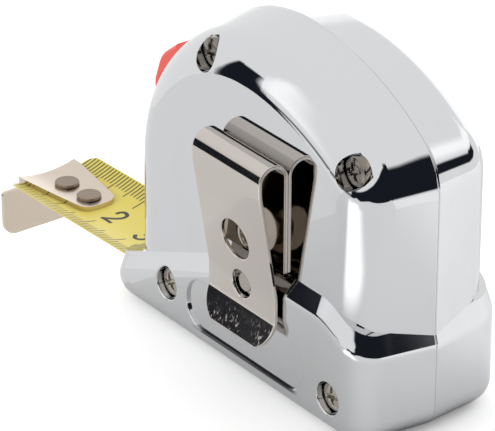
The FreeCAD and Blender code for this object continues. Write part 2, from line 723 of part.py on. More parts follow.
def lock_arm():
    """Curved arm inside the case, from the stem under the button down to the toe."""
    inner = LOCK_ARM_OUT - LOCK_ARM_THICK
    half = LOCK_ARM_WIDTH / 2
    arm = sector(inner, LOCK_ARM_OUT, LOCK_ARM_FROM, LOCK_ARM_TO, half)
    stem = sector(inner, FRONT_RADIUS + BUTTON_GAP, STEM_FROM, STEM_TO, STEM_WIDTH / 2)
    middle = LOCK_ARM_OUT - LOCK_ARM_THICK / 2
    low = pad_heights()[1]
    high = LOCK_AXIS.z - math.sqrt(middle ** 2 - (LOCK_AXIS.x - TOE_BACK) ** 2)
    leg = box(TOE_FRONT, TOE_BACK, -half, half, low, high)
    toe = box(TOE_FRONT, TOE_BACK, -TOE_WIDTH / 2, TOE_WIDTH / 2, low, low + TOE_THICK)
    return arm.multiFuse([stem, leg, toe]).removeSplitter()


def brake_pads():
    """Two rubber pads under the toe that press on the raised edges of the blade."""
    outer = TOE_WIDTH / 2
    low, high = pad_heights()
    return both_sides(box(TOE_FRONT, TOE_BACK, -outer, -outer + PAD_WIDTH, low, high))


def pad_heights():
    """Lower face just above the drooped blade under the toe, and the upper face."""
    rise = BLADE_BEND - math.sqrt(BLADE_BEND ** 2 - TOE_WIDTH ** 2 / 4)
    tilt = (TOE_BACK - FRONT_X) * math.tan(math.radians(BLADE_DROOP))
    low = BLADE_Z + rise + BLADE_THICK + tilt + PAD_GAP
    return low, low + PAD_HEIGHT


def lock_button():
    """Thumb button: a wedge that follows the front arc and stands up at its lower end."""
    base = FRONT_RADIUS + BUTTON_GAP
    half = BUTTON_WIDTH / 2
    block = sector(base, base + BUTTON_RISE + 3, BUTTON_FROM, BUTTON_TO, half)

    def spot(radius, degrees):
        angle = math.radians(degrees)
        return (LOCK_AXIS.x - radius * math.cos(angle), LOCK_AXIS.z + radius * math.sin(angle))

    crest = base + BUTTON_RISE
    line = [spot(base - 4, BUTTON_FROM - 3), spot(base + 1.6, BUTTON_FROM - 3),
            spot(crest, BUTTON_FROM + 7), spot(crest, BUTTON_FROM + 16),
            spot(base + 1.2, BUTTON_TO + 1.5), spot(base - 4, BUTTON_TO + 4)]
    body = block.common(slab(line, [0, 2.0, 4.0, 6.0, 0, 0], -half, half))
    rim = []
    for edge in body.Edges:
        spot_y = [v.Point.y for v in edge.Vertexes]
        away = min((v.Point - V(LOCK_AXIS.x, v.Point.y, LOCK_AXIS.z)).Length for v in edge.Vertexes)
        if abs(abs(sum(spot_y) / len(spot_y)) - half) < 0.01 and away > base + 0.3:
            rim.append(edge)
    return body.makeFillet(BUTTON_ROUND, rim)


def clip_screw():
    seat = -HALF - CLIP_THICK
    return screw(REEL_X, REEL_Z, seat, -HALF + CLIP_SCREW_REACH, CLIP_SCREW_HEAD, CLIP_SCREW_HEIGHT)


NODES = {
    "case_half_clip": case_half_clip,
    "case_half_plain": case_half_plain,
    "lower_case_screws": lambda: case_screws(screw_sites()[:2]),
    "upper_case_screws": lambda: case_screws(screw_sites()[2:]),
    "locating_dowels": locating_dowels,
    "belt_clip": belt_clip,
    "clip_screw": clip_screw,
    "clip_stud": clip_stud,
    "arbor_pin": arbor_pin,
    "arbor_washers": arbor_washers,
    "side_liners": side_liners,
    "reel_drum": reel_drum,
    "drum_cover": drum_cover,
    "power_spring": power_spring,
    "blade_coil": blade_coil,
    "blade": blade,
    "end_hook": end_hook,
    "hook_rivets": hook_rivets,
    "wear_strip": wear_strip,
    "mouth_wiper": mouth_wiper,
    "lock_button": lock_button,
    "lock_arm": lock_arm,
    "brake_pads": brake_pads,
}

os.makedirs("parts", exist_ok=True)
for name, make in NODES.items():
    shape = make()
    print(name, "solids", len(shape.Solids), "valid", shape.isValid(), "volume", round(shape.Volume, 1))
    shape.exportStep("parts/" + name + ".step")
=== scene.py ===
# %% [markdown]
# # A pocket tape measure, finished in Blender
# The shapes of the tape measure come from its CAD model, in metres, already in place.
# This lesson gives them their looks: mirror chrome, nickelled spring steel, a yellow
# printed blade, and the small parts that CAD only roughs out.

# %% Load the frame
import math

import bpy
import numpy as np
from mathutils import Matrix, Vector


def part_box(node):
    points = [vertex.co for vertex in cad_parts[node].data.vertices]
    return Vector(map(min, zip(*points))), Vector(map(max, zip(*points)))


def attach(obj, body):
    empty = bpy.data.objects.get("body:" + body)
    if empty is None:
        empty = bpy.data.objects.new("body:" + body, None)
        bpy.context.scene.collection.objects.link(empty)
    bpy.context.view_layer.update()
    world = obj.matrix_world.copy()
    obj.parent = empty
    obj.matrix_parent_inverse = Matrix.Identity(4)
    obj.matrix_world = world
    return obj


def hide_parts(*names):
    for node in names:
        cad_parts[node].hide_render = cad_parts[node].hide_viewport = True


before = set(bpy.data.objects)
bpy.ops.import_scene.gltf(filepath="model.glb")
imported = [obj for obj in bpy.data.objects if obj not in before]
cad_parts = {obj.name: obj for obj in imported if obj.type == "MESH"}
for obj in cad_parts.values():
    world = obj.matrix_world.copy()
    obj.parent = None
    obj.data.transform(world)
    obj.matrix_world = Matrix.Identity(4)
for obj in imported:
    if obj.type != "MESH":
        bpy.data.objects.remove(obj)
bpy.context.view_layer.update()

MM = 0.001
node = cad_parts

# %% [markdown]
# ## Camera
# A long lens from well back keeps the case's edges nearly parallel, as in catalogue
# pictures of small tools. The direction is written as an azimuth and an elevation, and
# the three axes of the camera are worked out from them. A "track to" constraint would do
# the same, but then the exact place of the object in the frame is harder to set.

# %% Place the camera
AZIMUTH, ELEVATION, ROLL = (math.radians(d) for d in (53.1, 27.6, 0.35))
SENSOR, LENS = 36.0, 290.9
TARGET = np.array([2.9, 0.0, 4.5])
SHIFT_RIGHT, SHIFT_UP, DISTANCE = -11.303, 20.301, 723.0
back = np.array([math.sin(AZIMUTH) * math.cos(ELEVATION),
                 -math.cos(AZIMUTH) * math.cos(ELEVATION), math.sin(ELEVATION)])
level = np.array([math.cos(AZIMUTH), math.sin(AZIMUTH), 0.0])
upward = np.cross(back, level)
right = math.cos(ROLL) * level + math.sin(ROLL) * upward
up = math.cos(ROLL) * upward - math.sin(ROLL) * level
eye = (TARGET + SHIFT_RIGHT * right + SHIFT_UP * up + DISTANCE * back) * MM

camera = bpy.data.objects.new("camera", bpy.data.cameras.new("camera"))
camera.data.lens, camera.data.sensor_width = LENS, SENSOR
camera.data.clip_start = 0.01
rows = [[right[i], up[i], back[i], eye[i]] for i in range(3)] + [[0, 0, 0, 1]]
camera.matrix_world = Matrix(rows)
bpy.context.scene.collection.objects.link(camera)
bpy.context.scene.camera = camera
bpy.context.scene.view_settings.view_transform = "Standard"
print("camera stands", round(float(np.linalg.norm(eye)), 3), "m away")

# %% [markdown]
# ## Meshes from arrays
# Every new piece is a grid of points worked out with numpy. One helper puts a grid into a
# mesh: row i, column j of the array becomes a vertex, and each cell a quad. The columns
# can be joined up into rings, for turned shapes.

# %% A grid of points becomes a mesh
def grid_faces(rows, columns, wrap_columns=False):
    """Quads between neighbouring rows and columns, counted row by row."""
    i = np.arange(rows - 1)[:, None]
    j = np.arange(columns if wrap_columns else columns - 1)[None, :]
    k = (j + 1) % columns
    quads = np.stack(np.broadcast_arrays(i * columns + j, i * columns + k,
                                         (i + 1) * columns + k, (i + 1) * columns + j), -1)
    return quads.reshape(-1, 4)


def mesh_object(name, points, faces):
    """Vertices from an (n, 3) array in millimetres, faces from rows of indices."""
    mesh = bpy.data.meshes.new(name)
    mesh.from_pydata((np.asarray(points) * MM).tolist(), [], [list(map(int, f)) for f in faces])
    mesh.polygons.foreach_set("use_smooth", [True] * len(mesh.polygons))
    mesh.update()
    piece = bpy.data.objects.new(name, mesh)
    bpy.context.scene.collection.objects.link(piece)
    return piece


print("a 3 by 4 grid has", len(grid_faces(3, 4)), "quads")

# %% [markdown]
# ## Floor
# The case stands on a plain pale table. The hook hangs a little lower than the base, so
# the table has an edge just behind the blade's mouth, with a lower level in front of it.
# The floor is one profile, rounded at the two edges of the step, carried sideways. A
# second sheet a hair above it is seen only in the mirror finish: a white floor at full
# brightness would wash the chrome out, so the chrome is given a slightly greyer one.

# %% Make the floor
EDGE_X, EASE, REACH = -36.5, 1.2, 230.0
BELOW_HOOK = 26.0


def stepped_floor(name, drop, lift=0.0):
    """Height is 0 behind EDGE_X and -drop in front; a cosine eases between the two."""
    t = np.linspace(0, 1, 25)
    x = np.concatenate([[-REACH], EDGE_X - EASE + EASE * t, [REACH]])
    z = np.concatenate([[-drop], -drop * (0.5 + 0.5 * np.cos(math.pi * t)), [0.0]])
    y = np.array([-REACH, REACH])
    points = np.stack([np.repeat(x, 2), np.tile(y, len(x)), np.repeat(z, 2) + lift], -1)
    return mesh_object(name, points, grid_faces(len(x), 2)[:, ::-1])


hook_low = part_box("end_hook")[0].z / MM
floor = stepped_floor("floor", BELOW_HOOK - hook_low)
floor.visible_glossy = False
mirrored = stepped_floor("floor_in_chrome", BELOW_HOOK - hook_low, lift=0.02)
mirrored.visible_camera = mirrored.visible_diffuse = mirrored.visible_shadow = False
print("lower level of the floor at", round(hook_low - BELOW_HOOK, 2), "mm")

# %% [markdown]
# ## Backdrop
# The dome made further on has dark parts for the chrome to mirror, and they would show
# behind the case from some sides. So a large pale ball stands round everything, and only
# the camera sees it.

# %% Make the backdrop
def inner_ball(name, radius, rings, spokes):
    """Points of a sphere by polar and azimuth angle, wound so that faces look inwards."""
    polar = np.linspace(0.001, math.pi - 0.001, rings)[:, None]
    turn = (np.arange(spokes) * 2 * math.pi / spokes)[None, :]
    x, y = np.sin(polar) * np.cos(turn), np.sin(polar) * np.sin(turn)
    points = np.stack(np.broadcast_arrays(x, y, np.cos(polar)), -1).reshape(-1, 3) * radius
    return mesh_object(name, points, grid_faces(rings, spokes, wrap_columns=True)[:, ::-1])


backdrop = inner_ball("backdrop", radius=4000.0, rings=24, spokes=48)
for ray_kind in ("diffuse", "glossy", "transmission", "shadow"):
    setattr(backdrop, "visible_" + ray_kind, False)
print("backdrop quads:", len(backdrop.data.polygons))

# %% [markdown]
# ## Shader maths as Python
# Node trees get long, so a small class wraps a socket and lets ordinary Python write the
# maths: a * b, 1 - a, a.step(low, high). Numbers stay numbers until they meet a socket.

# %% A socket that understands operators
class Value:
    """A socket of a material, with arithmetic that adds Math nodes."""

    def __init__(self, kit, socket):
        self.kit, self.socket = kit, socket

    def math(self, operation, *others):
        values = dict(enumerate((self, *others)))
        return self.kit.add("ShaderNodeMath", {"operation": operation}, values).out(0)

    def __add__(self, other): return self.math("ADD", other)
    def __radd__(self, other): return self.math("ADD", other)
    def __mul__(self, other): return self.math("MULTIPLY", other)
    def __rmul__(self, other): return self.math("MULTIPLY", other)
    def __sub__(self, other): return self.math("SUBTRACT", other)
    def __rsub__(self, other): return self.kit.const(other).math("SUBTRACT", self)
    def __pow__(self, other): return self.math("POWER", other)
    def __abs__(self): return self.math("ABSOLUTE")

    def step(self, low, high):
        """0 below low, 1 above high, a smooth rise between."""
        return self.kit.add("ShaderNodeMapRange", {"interpolation_type": "SMOOTHSTEP"},
                            {"Value": self, "From Min": low, "From Max": high}).out("Result")

    def wave(self, period):
        """Distance to the nearest multiple of period, from 0 to half of it."""
        return abs(self.math("WRAP", period / 2, -period / 2))


class Made:
    """One node, with its outputs wrapped."""

    def __init__(self, kit, made):
        self.kit, self.made = kit, made

    def out(self, name):
        return Value(self.kit, self.made.outputs[name])


class Kit:
    """Adds nodes to one tree. Settings are set before sockets are filled."""

    def __init__(self, tree):
        self.tree = tree
        tree.nodes.clear()

    def add(self, kind, settings=None, sockets=None):
        made = self.tree.nodes.new(kind)
        for name, value in (settings or {}).items():
            setattr(made, name, value)
        for name, value in (sockets or {}).items():
            if isinstance(value, Value):
                self.tree.links.new(value.socket, made.inputs[name])
            elif hasattr(value, "__len__") and made.inputs[name].type == "RGBA":
                made.inputs[name].default_value = (*value[:3], 1)
            else:
                made.inputs[name].default_value = value
        return Made(self, made)

    def const(self, number):
        return self.add("ShaderNodeMath", {"operation": "ADD"}, {0: float(number), 1: 0.0}).out(0)

    def mix(self, share, a, b):
        """Colour a where share is 0, colour b where it is 1."""
        return self.add("ShaderNodeMix", {"data_type": "RGBA"}, {0: share, 6: a, 7: b}).out(2)

    def place(self):
        return self.add("ShaderNodeTexCoord").out("Object")

    def stretch(self, where, scale):
        """The same place with each axis scaled, for streaks and grain."""
        return self.add("ShaderNodeMapping", None, {"Vector": where, "Scale": scale}).out(0)

    def axes(self, where):
        split = self.add("ShaderNodeSeparateXYZ", None, {0: where})
        return split.out(0), split.out(1), split.out(2)

    def noise(self, where, scale, detail=3.0, rough=0.55):
        return self.add("ShaderNodeTexNoise", None, {"Vector": where, "Scale": scale, "Detail": detail,
                                                     "Roughness": rough}).out(0)

    def bump(self, height, strength, distance):
        return self.add("ShaderNodeBump", None, {"Height": height, "Strength": strength,
                                                 "Distance": distance}).out(0)


def grey(level):
    return (level, level, level)


print("shader helpers ready")

# %% [markdown]
# ## Studio
# Chrome has no look of its own: it shows the room. A white dome gives the even pale tone.
# The dark shapes on it make metal read as metal: a large one behind the camera, a panel
# and a thin thread low on the left, and a slot. Three brighter ones keep the far sides
# light. Each edge of a shape is a plane that cuts the dome, so a dot product with the
# direction and a smooth step are enough. An image of a room would do it too, but it can't
# be adjusted.

# %% Build the dome
def direction(azimuth, elevation=0):
    a, e = math.radians(azimuth), math.radians(elevation)
    return (math.cos(a) * math.cos(e), math.sin(a) * math.cos(e), math.sin(e))


def shape(kit, ray, planes):
    """1 where the ray is on the inner side of each plane: (normal, offset, softness)."""
    sides = []
    for normal, offset, soft in planes:
        dot = kit.add("ShaderNodeVectorMath", {"operation": "DOT_PRODUCT"}, {0: ray, 1: normal})
        sides.append(dot.out("Value").step(offset - soft, offset + soft))
    return math.prod(sides[1:], start=sides[0])


UP, DOWN = (0, 0, 1), (0, 0, -1)
ROOM = ((UP, -0.18, 0.03), (direction(0), 0.02, 0.03), ((0.408, -0.906, -0.110), -0.021, 0.03),
        ((0.038, 0.603, -0.797), -0.582, 0.02))
PANEL = ((direction(-53), 0.0, 0.02), (direction(-222), 0.0, 0.02), (UP, -0.37, 0.03), (DOWN, -0.31, 0.03))
THREAD = ((direction(0), -0.70, 0.05), (direction(-90), 0.0, 0.05), (UP, -0.20, 0.02), (DOWN, 0.13, 0.02))
SLOT = ((direction(112), 0.0, 0.04), (direction(-12), 0.0, 0.06), (UP, 0.03, 0.02), (DOWN, -0.23, 0.03))
STRIP = ((direction(-41), 0.0, 0.05), (direction(152), 0.0, 0.16), (UP, 0.02, 0.06), (DOWN, -0.72, 0.12))
WINDOW = ((direction(150), 0.0, 0.05), (direction(5), 0.0, 0.05), (UP, 0.26, 0.06), (DOWN, -0.50, 0.06))
WALL = ((direction(190), 0.0, 0.05), (direction(60), 0.0, 0.05), (UP, -0.26, 0.06), (DOWN, -0.26, 0.06))
THREAD_SHARE = 0.8
SKY, SKY_BRIGHT, SKY_DARK = grey(1.0), grey(1.38), (0.012, 0.014, 0.020)

world = bpy.data.worlds.new("studio")
world.use_nodes = True
bpy.context.scene.world = world
dome = Kit(world.node_tree)
ray = dome.add("ShaderNodeTexCoord").out("Generated")
room, panel, thread, slot = (shape(dome, ray, planes) for planes in (ROOM, PANEL, THREAD, SLOT))
strip, window, wall = (shape(dome, ray, planes) for planes in (STRIP, WINDOW, WALL))
dark = (room + panel + thread * THREAD_SHARE + slot).math("MINIMUM", 1.0)
bright = (strip + window + wall).math("MINIMUM", 1.0)
sky = dome.mix(dark, dome.mix(bright, SKY, SKY_BRIGHT), SKY_DARK)
ground = dome.add("ShaderNodeBackground", None, {"Color": sky, "Strength": 1.0})
dome.add("ShaderNodeOutputWorld", None, {0: ground.out(0)})
print("dome has", len(world.node_tree.nodes), "nodes")

# %% [markdown]
# ## Lights
# Two large soft panels. The main one stands behind the case to the right, so that the
# shadow falls towards the camera and the rear glows; the other one fills from the left.
# The chrome doesn't show them, so that its reflections come from the dome alone.

# %% Hang the panels
AIM = (0, 0, 0.03)


def soft_panel(name, azimuth, elevation, distance, width, height, watts):
    """A rectangular light on a sphere round AIM, the middle of the object, facing it."""
    lamp = bpy.data.lights.new(name, "AREA")
    lamp.shape, lamp.size, lamp.size_y, lamp.energy = "RECTANGLE", width, height, watts
    place = np.array(direction(azimuth, elevation))
    side = np.array([-place[1], place[0], 0.0]) / math.hypot(place[0], place[1])
    top = np.cross(place, side)
    rows = [[side[i], top[i], place[i], place[i] * distance + AIM[i]] for i in range(3)]
    holder = bpy.data.objects.new(name, lamp)
    holder.matrix_world = Matrix(rows + [[0, 0, 0, 1]])
    holder.visible_camera = holder.visible_glossy = False
    bpy.context.scene.collection.objects.link(holder)


soft_panel("main_panel", 88, 30, distance=0.9, width=0.55, height=0.40, watts=3.2)
soft_panel("fill_panel", -103, 30, distance=0.9, width=0.30, height=0.55, watts=1.4)
print("two panels lit")

# %% [markdown]
# ## Floor finish
# Matt white card: a plain rough surface, with a very faint cloudiness so it isn't dead flat.
# The backdrop glows evenly like lit paper. The sheet that the chrome mirrors is greyer, and
# has two painted pools of light on it, glowing without a lamp: one in front of the case and a weaker one
# behind.

# %% Paint the floor
def finish(name):
    made = bpy.data.materials.new(name)
    made.use_nodes = True
    return made, Kit(made.node_tree)


def wear(piece, made):
    """Gives a piece one material in every slot."""
    if not piece.data.materials:
        piece.data.materials.append(made)
    for i in range(len(piece.data.materials)):
        piece.data.materials[i] = made


def surface(kit, sockets):
    """A Principled BSDF joined to the output."""
    shader = kit.add("ShaderNodeBsdfPrincipled", None, sockets)
    kit.add("ShaderNodeOutputMaterial", None, {0: shader.out(0)})


card, kit = finish("white_card")
cloud = kit.noise(kit.place(), 3.0)
surface(kit, {"Base Color": kit.mix(cloud, grey(0.90), grey(0.93)), "Roughness": 0.9,
              "Emission Color": grey(1.0), "Emission Strength": 0.24})
wear(floor, card)

paper, kit = finish("backdrop_paper")
cloud = kit.noise(kit.place(), 0.4)
surface(kit, {"Base Color": grey(0.0), "Roughness": 1.0,
              "Emission Color": kit.mix(cloud, grey(0.97), grey(1.0)), "Emission Strength": 1.0})
wear(backdrop, paper)

BEHIND_SHARE = 0.28
painted_pool_card, kit = finish("painted_light_card")
where = kit.place()
x, y, _ = kit.axes(where)
# Painted light: two glowing pools on the sheet that the chrome mirrors, one in front of the case and a
# weaker one behind.
across = x.step(0.005, 0.020) * (1 - x.step(0.050, 0.080))
front = across * (1 - y.step(-0.070, -0.055)) * y.step(-0.19, -0.13)
behind = y.step(0.015, 0.035) * x.step(0.0, 0.03)
painted_light_pools = (front + behind * BEHIND_SHARE).math("MINIMUM", 1.0)
cloud = kit.noise(where, 3.0)
surface(kit, {"Base Color": kit.mix(cloud, grey(0.74), grey(0.78)), "Roughness": 0.9,
              "Emission Color": kit.mix(painted_light_pools, grey(0.0), grey(0.80)), "Emission Strength": 1.0})
wear(mirrored, painted_pool_card)
print("floor painted")

# %% [markdown]
# ## Mirror chrome
# Chrome plating on moulded plastic: a metal that reflects about two thirds of the light,
# almost without colour. Real plating is never perfect, so three faint things go on top: a
# slow ripple that bends reflections a little, a haze left by handling, and fine specks.
# A thin dark line is painted along the lower edge of the label recess: a painted dark reflection, standing
# in for the room mirrored in the recess's rim.

# %% Mix the chrome
# Places on the case are in metres here, because that's what a shader sees.
RECESS_LOW_Z, RECESS_FACE_Y = 0.00445, (-0.0158, -0.0156)
LINE_EDGE, LINE_FROM, LINE_TO = (0.00028, 0.00045), (-0.0115, -0.0070), (0.0185, 0.0210)


def plated(name, tint, haze, ripple):
    """Polished plating: tint is its reflectance, haze the roughness that handling adds."""
    made, kit = finish(name)
    where = kit.place()
    x, y, z = kit.axes(where)
    # Painted reflection: a thin dark line along the lower edge of the label recess, in place of the room
    # mirrored in its rim.
    low_edge = (1 - abs(z - RECESS_LOW_Z).step(*LINE_EDGE)) * (1 - y.step(*RECESS_FACE_Y))
    painted_rim_reflection = low_edge * x.step(*LINE_FROM) * (1 - x.step(*LINE_TO))
    smear = kit.noise(kit.stretch(where, (60, 60, 25)), 1.0, 4.0, 0.6).step(0.50, 0.75)
    speck = kit.noise(where, 2600.0, 2.0).step(0.70, 0.78)
    slow = kit.noise(where, 38.0, 1.5, 0.4)
    dull = tuple(0.93 * c for c in tint)
    clean = kit.mix(smear * 0.5 + speck * 0.5, tint, dull)
    surface(kit, {"Base Color": kit.mix(painted_rim_reflection * 0.88, clean, (0.03, 0.03, 0.035)), "Metallic": 1.0,
                  "Roughness": smear * haze + speck * 0.10 + 0.025,
                  "Normal": kit.bump(slow, 1.0, ripple)})
    return made


def dress(looks):
    """Dresses parts by name: looks holds pairs of a material and the names that wear it."""
    for made, names in looks:
        for name in names:
            wear(node[name], made)


chrome = plated("mirror_chrome", (0.665, 0.672, 0.682), haze=0.045, ripple=0.00003)
dress([(chrome, ("case_half_clip", "case_half_plain"))])
print("case is chrome")

# %% [markdown]
# ## Nickelled steel
# The clip, the hook and the pins are bright nickel, which is warmer than chrome. Rolled
# sheet has a fine grain along its length, and use leaves scratches, most of them where
# the tip of the clip rubs on a belt. A stretched noise makes grain; a Voronoi edge
# distance, stretched the same way, would give harder lines than the real sheet shows.
# The inside of the clip's fold gets painted shade, a brown-grey, and the clip is painted darker towards its
# top, also painted shade.

# %% Mix the nickels
LEAF_LEAN, LEAF_Y, LEAF_TOP_Z, LEG_Y = -0.1746, -0.01363, 0.0422, -0.01555
FOLD_FOOT_Z, FOLD_TOP_Z = (0.0120, 0.0200), (0.0455, 0.0470)
FOLD_SHADE_COLOUR = (0.34, 0.295, 0.25)
ALL_OVER, NEAR_TIP = (0.5, 0.6), (0.012, 0.017)


def steel(name, tint, rough, grain_scale, scratches=0.0, below=ALL_OVER, inside=False):
    """Sheet steel: grain_scale stretches the grain; scratches fade out between two heights.
    With inside set, the faces between the leaning leaf and the upright leg get painted shade, a brown-grey,
    and the sheet is painted darker towards the top."""
    made, kit = finish(name)
    where = kit.place()
    _, y, z = kit.axes(where)
    grain = kit.noise(kit.stretch(where, grain_scale), 1.0, 4.0, 0.7)
    rub = kit.noise(kit.stretch(where, (2600, 2600, 260)), 1.0, 2.0, 0.6).step(0.58, 0.70)
    patch = kit.noise(where, 160.0, 3.0).step(0.35, 0.65)
    worn = rub * patch * (1 - z.step(*below)) if scratches else rub * 0.12
    dull = tuple(0.72 * c for c in tint)
    colour = kit.mix(grain * 0.35 + worn * 0.5, tint, dull)
    if inside:
        leaf = z.math("MINIMUM", LEAF_TOP_Z) * LEAF_LEAN + LEAF_Y
        painted_fold_shade = (y - leaf).step(0.0, 0.0003) * (1 - z.step(*FOLD_TOP_Z)) * z.step(*FOLD_FOOT_Z)
        leg = (y - LEG_Y).step(-0.0001, 0.0001)
        # Painted shade: the clip turns darker towards its top.
        colour = kit.mix(z.step(0.018, 0.042) * 0.5, colour, dull)
        # Painted shade: the inside of the fold, between leaf and leg, is painted brown-grey.
        colour = kit.mix(painted_fold_shade * (1 - leg), colour, FOLD_SHADE_COLOUR)
    surface(kit, {"Base Color": colour, "Metallic": 1.0,
                  "Roughness": grain * 0.05 + worn * max(0.25, scratches) + rough,
                  "Normal": kit.bump(grain * 0.4 + worn, 0.35, 0.00002)})
    return made


nickel = steel("clip_nickel", (0.70, 0.65, 0.605), 0.05, (90, 900, 4000), scratches=0.35,
               below=NEAR_TIP, inside=True)
hook_nickel = steel("hook_nickel", (0.70, 0.61, 0.52), 0.20, (300, 4000, 900))
dull_steel = steel("rivet_steel", (0.30, 0.235, 0.185), 0.16, (1500, 1500, 1500))
bright_zinc = steel("screw_zinc", (0.50, 0.465, 0.415), 0.12, (1800, 1800, 1800), scratches=0.3)
# Painted shade: a darker copy of the screw zinc, for the upper screws that sit deep in their bores.
shaded_screw_zinc = steel("painted_shade_screw_zinc", (0.25, 0.225, 0.20), 0.12, (1500, 1500, 1500), scratches=0.3)
turned = steel("turned_steel", (0.55, 0.55, 0.55), 0.18, (400, 4000, 400))
blued = steel("spring_steel", (0.16, 0.19, 0.27), 0.22, (700, 4000, 700))
dress([(nickel, ("belt_clip",)), (hook_nickel, ("end_hook",)), (dull_steel, ("hook_rivets",)),
       (bright_zinc, ("clip_stud",)), (turned, ("arbor_pin", "locating_dowels", "wear_strip")),
       (blued, ("power_spring",))])
print("nickel and steel are on")

# %% [markdown]
# ## Plastics, film and felt
# The button is glossy coral-red plastic with a moulded skin. The lock arm is black nylon,
# the drum natural white acetal, and the liners are film. They hide inside the case, but
# each gets its own grain, because the parts are also looked at one by one.

# %% Mix the plastics
def moulded(name, light, painted_fold_shade, rough, grain, depth):
    """Moulded plastic: colour drifts between two tones over a fine grain."""
    made, kit = finish(name)
    where = kit.place()
    drift = kit.noise(where, 220.0, 3.0)
    skin = kit.noise(where, grain, 2.0)
    surface(kit, {"Base Color": kit.mix(drift, light, painted_fold_shade), "Roughness": skin * 0.12 + rough,
                  "IOR": 1.49, "Normal": kit.bump(skin, 0.5, depth)})
    return made


coral = moulded("coral_plastic", (0.84, 0.105, 0.075), (0.74, 0.07, 0.05), 0.26, 1800.0, 0.00002)
nylon = moulded("black_nylon", (0.020, 0.020, 0.022), (0.035, 0.035, 0.038), 0.42, 2400.0, 0.00003)
acetal = moulded("white_acetal", (0.80, 0.80, 0.76), (0.72, 0.72, 0.68), 0.38, 1600.0, 0.00002)
film = moulded("liner_film", (0.66, 0.66, 0.62), (0.58, 0.58, 0.55), 0.30, 3200.0, 0.00001)
rubber = moulded("pad_rubber", (0.018, 0.018, 0.018), (0.030, 0.030, 0.030), 0.70, 5200.0, 0.00004)
felt = moulded("wiper_felt", (0.05, 0.05, 0.055), (0.10, 0.10, 0.105), 0.86, 7000.0, 0.00012)
dress([(coral, ("lock_button",)), (nylon, ("lock_arm",)), (acetal, ("reel_drum", "drum_cover")),
       (film, ("side_liners", "arbor_washers")), (rubber, ("brake_pads",)), (felt, ("mouth_wiper",))])
print("plastics are on")

# %% [markdown]
# ## The printed blade
# The blade is steel under yellow lacquer. Its lines are worked out from the place along
# the blade: a line is wherever the distance to the nearest millimetre is small and the
# place is close enough to an edge. Every fifth line is longer and every tenth longest.

# %% Print the lines
BLADE_END, SCALE_START, HALF_WIDTH = -80.4, 1.6, 10.0
WHOLE, FIFTH, TENTH = 3.3, 4.4, 5.7
LINE = 0.15
YELLOW, YELLOW_LIGHT, YELLOW_RUBBED = (0.60, 0.50, 0.085), (0.66, 0.56, 0.12), (0.76, 0.68, 0.30)
PRINT_BLACK = (0.035, 0.030, 0.010)

printed, kit = finish("printed_yellow")
where = kit.place()
x, y, _ = kit.axes(where)
along = x * (1 / MM) - (BLADE_END + SCALE_START)
inward = HALF_WIDTH - abs(y) * (1 / MM)
thin = 1 - along.wave(1.0).step(LINE, LINE + 0.05)
every5 = 1 - along.wave(5.0).step(0.4, 0.5)
every10 = 1 - along.wave(10.0).step(0.4, 0.5)
length = every5 * (FIFTH - WHOLE) + every10 * (TENTH - FIFTH) + WHOLE
line = thin * (1 - (inward - length).step(0.0, 0.06)) * inward.step(0.15, 0.25)
tone = kit.mix(kit.noise(where, 130.0), YELLOW, YELLOW_LIGHT)
rubbed = kit.noise(kit.stretch(where, (150, 1500, 1500)), 1.0, 3.0).step(0.62, 0.80)
skin = kit.mix(rubbed * 0.35, tone, YELLOW_RUBBED)
surface(kit, {"Base Color": kit.mix(line * 0.92, skin, PRINT_BLACK),
              "Roughness": rubbed * 0.15 + 0.30, "Coat Weight": 0.08, "Coat Roughness": 0.2, "IOR": 1.35,
              "Normal": kit.bump(kit.noise(where, 900.0, 2.0), 0.2, 0.00002)})
wear(node["blade"], printed)
print("blade is printed")

# %% [markdown]
# The wound part of the blade shows its edges as fine rings round the reel's centre.

# %% Paint the coil
COIL_X, COIL_Z, TURN_STEP = 5.8 * MM, 29.9 * MM, 0.32
COIL_EDGE, COIL_LIGHT, COIL_GAP = (0.72, 0.60, 0.14), (0.80, 0.68, 0.20), (0.20, 0.17, 0.05)
wound, kit = finish("wound_blade")
where = kit.place()
x, _, z = kit.axes(where)
radius = ((x - COIL_X) ** 2.0 + (z - COIL_Z) ** 2.0) ** 0.5
ring = (radius * (1 / MM)).wave(TURN_STEP).step(0.05, 0.13)
speck = kit.noise(where, 500.0)
surface(kit, {"Base Color": kit.mix(ring * 0.8, COIL_GAP, kit.mix(speck, COIL_EDGE, COIL_LIGHT)),
              "Roughness": speck * 0.2 + 0.35, "Metallic": 0.3,
              "Normal": kit.bump(ring, 0.4, 0.00004)})
wear(node["blade_coil"], wound)
print("coil is painted")

# %% [markdown]
# ## Numbers on the blade
# Each digit is a pen stroke: a few points on a unit square, a smooth curve through them,
# and a ribbon of constant width along it. The ribbon is then laid in the hollow of the
# blade, a hair above the lacquer. A font would do, but its flat faces would have to be cut
# up before they could follow the hollow.

